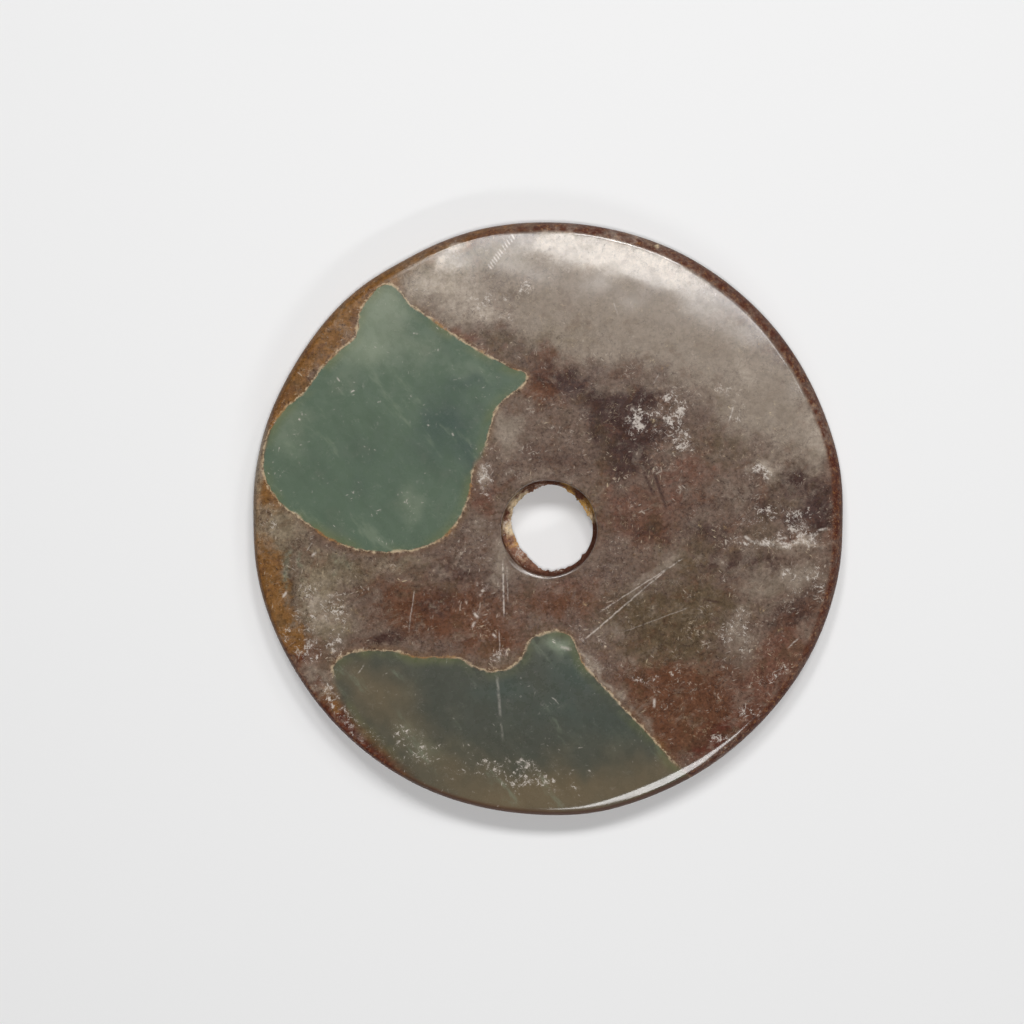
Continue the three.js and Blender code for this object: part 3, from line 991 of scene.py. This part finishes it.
def skin_colour(g, cloud, mottle, grain):
    """The brown skin: its stains and the painted sheen of the upper right, then the darker rim, the hole's
    wall with its ledge and the ledge's painted glow, and the warm edge beside the windows. The ash and
    painted sheen show less of the texture."""
    blotch = g.noise(4.5, 6, 0.75, 0.6, place=g.stretched_place(25, 1.4, 9.0))
    colour = g.mix(g.remap(cloud, 0.5, 0.7, 0.0, 0.4), linear("skin"), linear("plum"))
    uneven = g.math("MULTIPLY", g.math("SUBTRACT", g.noise(2.6, 6, 0.75), 0.5), 1.6)
    calmer = g.math("MULTIPLY", uneven, 0.55)
    for number, kind in enumerate(SKIN_KINDS):
        change = calmer if kind in PALE_KINDS else uneven
        strength = g.math("ADD" if number % 2 else "SUBTRACT", g.attribute(kind), change)
        colour = g.mix(g.remap(strength, 0.1, 0.75), colour, linear(kind))
    texture = g.math("SUBTRACT", 1.0, g.math("MULTIPLY", g.attribute("ash_and_sheen"), 0.7))
    colour = g.mix(g.remap(blotch, 0.53, 0.62, 0.0, 0.3), colour, linear("ash_and_sheen"))
    redder = g.math("MULTIPLY", g.remap(blotch, 0.47, 0.38, 0.0, 0.4), texture)
    colour = g.mix(redder, colour, linear("russet"))
    greener = g.math("MULTIPLY", g.remap(cloud, 0.46, 0.36, 0.0, 0.35), texture)
    colour = g.mix(greener, colour, linear("olive"))
    veins = g.math("ABSOLUTE", g.math("SUBTRACT", g.noise(3, 4, 0.6, 0.3), 0.5))
    veins = g.math("MULTIPLY", g.remap(veins, 0.0, 0.022, 0.6, 0.0), g.remap(cloud, 0.42, 0.56))
    colour = g.mix(g.math("MULTIPLY", veins, texture), colour, linear("plum"))

    warm = g.math("SUBTRACT", 1.0, g.attribute("amber"), clamp=True)
    bevel = g.math("MULTIPLY", warm, g.remap(mottle, 0.38, 0.62, 0.95, 0.5))
    bevel = g.math("MULTIPLY", bevel, g.attribute("bevel"))
    rim = g.mix(g.remap(blotch, 0.42, 0.58), linear("red"), linear("rim"))
    rim = g.mix(g.remap(mottle, 0.54, 0.66, 0.0, 0.5), rim, linear("plum"))
    rim = g.mix(g.remap(grain, 0.54, 0.64, 0.0, 0.5), rim, linear("tan"))
    colour = g.mix(bevel, colour, rim)
    bore = g.math("MULTIPLY", g.remap(g.attribute("bore"), 0.5, 1.0), 0.8)
    colour = g.mix(bore, colour, linear("rim"))
    # The ledge's copper stain, and honey and cream painted as glow of light through the thin ledge.
    for kind in LEDGE_KINDS:
        strength = g.math("ADD", g.attribute(kind), uneven)
        colour = g.mix(g.remap(strength, 0.2, 0.7), colour, linear(kind))

    outside = g.math("MULTIPLY", g.attribute("window"), -1.0)
    halo = g.math("MULTIPLY", g.remap(outside, 0.2, 1.8, 0.35, 0.0), g.remap(outside, -0.5, 0.2))
    halo = g.math("MULTIPLY", halo, g.remap(blotch, 0.4, 0.6, 0.2, 1.0))
    colour = g.mix(halo, colour, linear("amber"))
    pits = g.math("MULTIPLY", g.remap(grain, 0.375, 0.33, 0.0, 0.85), texture)
    colour = g.mix(pits, colour, linear("plum"))
    broad = g.remap(mottle, 0.35, 0.65, 0.88, 1.13)
    tone = g.math("MULTIPLY", broad, g.remap(grain, 0.37, 0.63, 0.79, 1.25))
    tone = g.math("ADD", g.math("MULTIPLY", g.math("SUBTRACT", tone, 1.0), texture), 1.0)
    return g.vector("SCALE", colour, tone)


def window_colour(g, cloud):
    """The green of the windows, milky or deeper in places, brown near the rim, yellower beside the skin."""
    colour = g.mix(g.attribute("second_window"), linear("celadon"), linear("dark green"))
    drift = g.math("MULTIPLY", g.math("SUBTRACT", cloud, 0.5), 0.9)
    for kind in WINDOW_KINDS:
        strength = g.math("ADD", g.attribute(kind), drift)
        colour = g.mix(g.remap(strength, 0.0, 1.0, 0.0, 0.9), colour, linear(kind))
    edge = g.remap(g.attribute("window"), 0.0, 2.4, 0.5, 0.0)
    colour = g.mix(g.math("MULTIPLY", edge, g.remap(cloud, 0.35, 0.6)), colour, linear("edge green"))
    smears = g.noise(4, 4, 0.7, place=g.stretched_place(-50, 3.0, 3.0))
    colour = g.mix(g.remap(smears, 0.58, 0.74, 0.0, 0.4), colour, linear("milky"))
    return g.vector("SCALE", colour, g.remap(smears, 0.25, 0.6, 0.93, 1.05))


def pale_flecks(g, inside):
    """Faint pale strokes and hairs, and crumbly pale specks that crowd where the stone is chalky."""
    strokes = None
    for number, turn in enumerate((20, 80, 140)):
        spots = g.noise(0.42, 1, 0.5, place=g.stretched_place(turn, 3.5, 7.0 * number))
        strokes = spots if strokes is None else g.math("MAXIMUM", strokes, spots)
    chalk = g.attribute("chalk")
    crowding = g.math("MULTIPLY", g.math("SUBTRACT", g.noise(4, 3, 0.6), 0.5), 0.5)
    crowding = g.math("SUBTRACT", crowding, g.math("MULTIPLY", inside, 0.05))
    crowding = g.math("SUBTRACT", crowding, g.math("MULTIPLY", g.attribute("ash_and_sheen"), 0.04))
    thin = g.math("ADD", g.math("ADD", strokes, crowding), g.math("MULTIPLY", chalk, 0.08))
    thin = g.remap(thin, 0.72, 0.84, 0.0, 0.6)
    hairs = g.math("ABSOLUTE", g.math("SUBTRACT", g.noise(2.6, 3, 0.6, 1.2), 0.5))
    hairs = g.remap(hairs, 0.0, 0.012, 0.4, 0.0)
    hairs = g.math("MULTIPLY", hairs, g.remap(g.noise(1.8, 2, 0.5), 0.52, 0.64))
    hairs = g.math("MULTIPLY", hairs, g.math("SUBTRACT", 1.0, g.math("MULTIPLY", inside, 0.7)))
    crumbs = g.math("ADD", g.noise(0.9, 5, 0.85, 0.6), crowding)
    crumbs = g.math("ADD", crumbs, g.math("MULTIPLY", chalk, 0.18))
    crumbs = g.remap(crumbs, 0.655, 0.72, 0.0, 0.8)
    return g.math("MAXIMUM", g.math("MAXIMUM", thin, hairs), crumbs)


# Scene


def build_disc():
    disc = bpy.data.objects.new("jade_disc", disc_mesh())
    bpy.context.scene.collection.objects.link(disc)
    disc.data.materials.append(jade_material())
    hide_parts("bi_disc")
    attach(disc, "root")


def build_floor():
    half = FLOOR_HALF_WIDTH / PER_METRE
    mesh = bpy.data.meshes.new("floor")
    corners = [(-half, -half, 0), (half, -half, 0), (half, half, 0), (-half, half, 0)]
    mesh.from_pydata(corners, [], [(0, 1, 2, 3)])
    floor = bpy.data.objects.new("floor", mesh)
    bpy.context.scene.collection.objects.link(floor)
    material, _, shader = new_material("floor")
    shader.inputs["Base Color"].default_value = linear("floor")
    shader.inputs["Roughness"].default_value = 0.7
    shader.inputs["Specular IOR Level"].default_value = 0.2
    floor.data.materials.append(material)


def area_light(name, azimuth, tilt, distance, width, length, power, lit=True, mirrored=True):
    """A soft box aimed at the disc, in metres and watts. Azimuth is in degrees from +X, tilt in degrees off
    the vertical. One that isn't lit shows as a reflection on the polish and gives no light, and one that
    isn't mirrored only gives light."""
    data = bpy.data.lights.new(name, "AREA")
    data.shape = "RECTANGLE"
    data.size = width
    data.size_y = length
    data.energy = power
    light = bpy.data.objects.new(name, data)
    turn, lean = math.radians(azimuth), math.radians(tilt)
    light.location = (
        distance * math.sin(lean) * math.cos(turn),
        distance * math.sin(lean) * math.sin(turn),
        distance * math.cos(lean),
    )
    light.rotation_euler = (lean, 0, turn + math.pi / 2)
    light.visible_diffuse = lit
    light.visible_glossy = mirrored
    bpy.context.scene.collection.objects.link(light)


def build_lights():
    area_light("left box", 106, 32, 1.0, 0.18, 0.18, 2.7)
    area_light("right box", 72, 32, 1.0, 0.17, 0.17, 2.4)
    area_light("far right box", 48, 40, 1.0, 0.1, 0.18, 0.65)
    area_light("overhead", 270, 5, 0.9, 0.12, 0.12, 3.0, mirrored=False)
    area_light("low strip", -68, 48, 1.0, 0.55, 0.07, 1.25)
    area_light("reflector", 74, 17, 0.9, 0.4, 0.15, 1.25, lit=False)
    world = bpy.data.worlds.new("room")
    world.use_nodes = True
    background = world.node_tree.nodes["Background"]
    background.inputs["Color"].default_value = (1.0, 1.0, 1.0, 1.0)
    background.inputs["Strength"].default_value = 0.05
    bpy.context.scene.world = world


def build_camera():
    data = bpy.data.cameras.new("camera")
    frame_width = PHOTO_SIZE * PIXEL
    data.lens = data.sensor_width * CAMERA_DISTANCE / frame_width
    data.clip_start = 0.01
    camera = bpy.data.objects.new("camera", data)
    off_x = (PHOTO_SIZE / 2 - PHOTO_MIDDLE[0]) * PIXEL
    off_y = (PHOTO_MIDDLE[1] - PHOTO_SIZE / 2) * PIXEL
    height = HUB_THICKNESS / 2 + CAMERA_DISTANCE
    camera.location = (off_x / PER_METRE, off_y / PER_METRE, height / PER_METRE)
    bpy.context.scene.collection.objects.link(camera)
    bpy.context.scene.camera = camera
    bpy.context.scene.view_settings.view_transform = "Standard"


build_camera()
build_disc()
build_floor()
build_lights()
